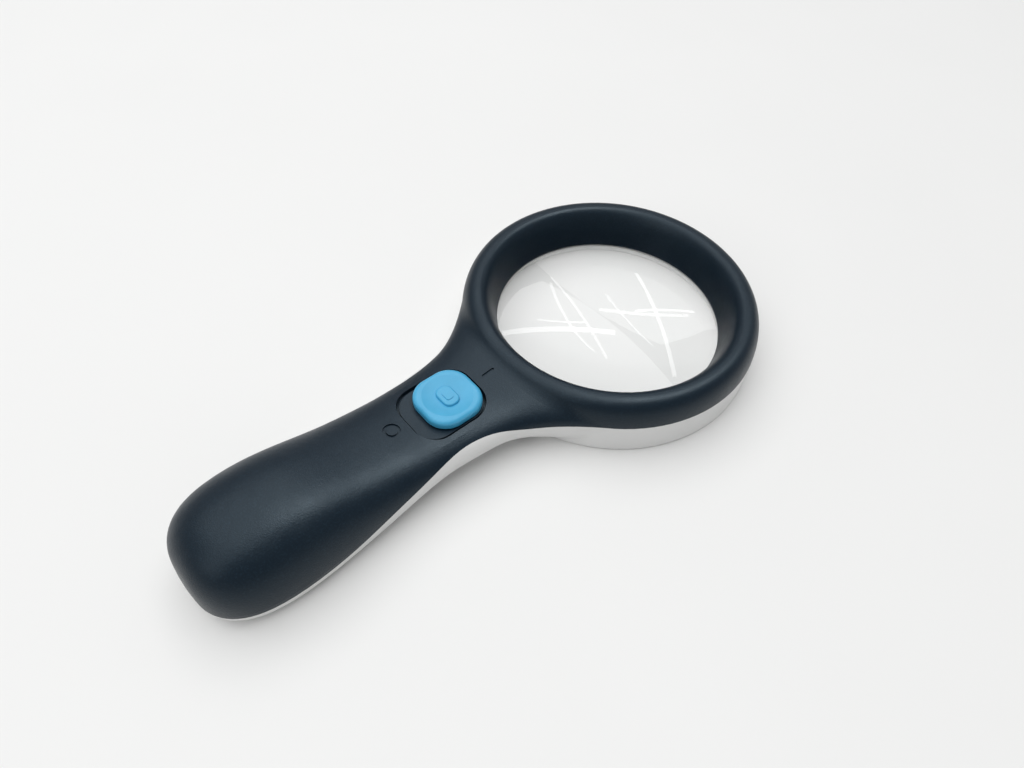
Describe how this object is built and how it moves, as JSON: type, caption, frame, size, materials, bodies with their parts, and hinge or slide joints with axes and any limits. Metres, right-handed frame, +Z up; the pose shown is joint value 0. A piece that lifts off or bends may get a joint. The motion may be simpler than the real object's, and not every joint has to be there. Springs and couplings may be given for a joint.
{
  "type": "hand magnifier",
  "caption": "Illuminated low vision hand magnifier: round lens in a two-part casing with a contoured handle, a sliding thumb switch, a ring of lamps and a battery door.",
  "frame": {"origin": "centre of the footprint, on the surface the magnifier lies on", "axes": "+X from the butt of the handle towards the lens, +Y across the handle, +Z up through the thumb switch and along the lens axis"},
  "size_m": [0.188, 0.092, 0.024],
  "materials": {
    "soft_touch_black": "soft-touch paint with a fine sparkle",
    "white_casing": "satin",
    "lens_acrylic": "polished",
    "button_blue": "satin",
    "inner_black_plastic": "moulded",
    "spring_steel": "plated",
    "contact_brass": "tinned",
    "board_green": "solder mask",
    "resistor_black": "moulded",
    "lamp_epoxy": "clear epoxy over phosphor",
    "cell_wrap": "shrink wrap",
    "screw_steel": "zinc plated",
    "wire_red": "insulation",
    "wire_black": "insulation",
    "phenolic_brown": "laminate"
  },
  "bodies": {
    "casing": {"top_shell": "soft_touch_black", "bottom_shell": "white_casing", "main_lens": "lens_acrylic", "switch_frame": "spring_steel", "switch_base": "phenolic_brown", "switch_terminals": "contact_brass", "switch_board": "board_green", "board_resistors": "resistor_black", "led_board": "board_green", "led_lamps": "lamp_epoxy", "battery_tray": "inner_black_plastic", "battery_cell_near": "cell_wrap", "battery_cell_far": "cell_wrap", "bridge_contact": "contact_brass", "positive_contact": "contact_brass", "negative_contact": "contact_brass", "contact_springs": "spring_steel", "casing_screws": "screw_steel", "lead_battery_positive": "wire_red", "lead_battery_negative": "wire_black", "lead_switch_to_lamps": "wire_red"},
    "switch_slider": {"slide_button": "button_blue", "button_keeper": "inner_black_plastic", "switch_lever": "inner_black_plastic"},
    "door": {"battery_door": "white_casing"}
  },
  "joints": [
    {"name": "switch_slide", "type": "slide", "parent": "casing", "child": "switch_slider", "axis": [1, 0, 0], "range_m": [-0.0042, 0]},
    {"name": "battery_door_hinge", "type": "hinge", "parent": "casing", "child": "door", "pos_m": [-0.0345, 0, 0.0026], "axis": [0, -1, 0], "range_deg": [0, 80]}
  ]
}
